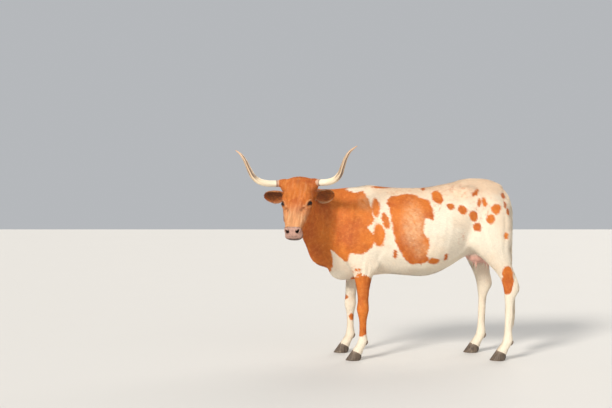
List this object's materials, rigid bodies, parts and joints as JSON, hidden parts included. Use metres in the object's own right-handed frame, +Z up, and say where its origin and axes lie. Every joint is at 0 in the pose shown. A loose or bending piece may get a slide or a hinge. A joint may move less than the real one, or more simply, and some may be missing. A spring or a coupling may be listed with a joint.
{
  "type": "texas longhorn",
  "caption": "Life-size still model of a standing cow, long in the back, with wide horns that sweep out and up, head turned to her left, on cloven hooves.",
  "frame": {"origin": "on the floor, under the middle of the whole cow's box", "axes": "-X the way she faces, -Y her left side, +Z up"},
  "size_m": [2.2241, 0.8324, 1.6766],
  "materials": {
    "hide_red": "short orange-red coat",
    "hide_white": "short cream-white coat with orange-red patches and spots",
    "horn": "smooth horn, cream with tan tips",
    "hoof": "dark worn hoof horn",
    "eye": "wet dark eye",
    "bare_skin": "bare pinkish skin"
  },
  "bodies": {
    "root": {"ear_left": "hide_red", "ear_right": "hide_red", "eye_left": "eye", "eye_right": "eye", "foreleg_left": "hide_white", "foreleg_left_claw_inner": "hoof", "foreleg_left_claw_outer": "hoof", "foreleg_left_dewclaw_inner": "hoof", "foreleg_left_dewclaw_outer": "hoof", "foreleg_right": "hide_white", "foreleg_right_claw_inner": "hoof", "foreleg_right_claw_outer": "hoof", "foreleg_right_dewclaw_inner": "hoof", "foreleg_right_dewclaw_outer": "hoof", "head": "hide_red", "hindleg_left": "hide_white", "hindleg_left_claw_inner": "hoof", "hindleg_left_claw_outer": "hoof", "hindleg_left_dewclaw_inner": "hoof", "hindleg_left_dewclaw_outer": "hoof", "hindleg_right": "hide_white", "hindleg_right_claw_inner": "hoof", "hindleg_right_claw_outer": "hoof", "hindleg_right_dewclaw_inner": "hoof", "hindleg_right_dewclaw_outer": "hoof", "horn_left": "horn", "horn_right": "horn", "neck": "hide_red", "tail": "hide_white", "tail_switch": "hide_white", "torso": "hide_white", "udder": "bare_skin"}
  },
  "joints": []
}
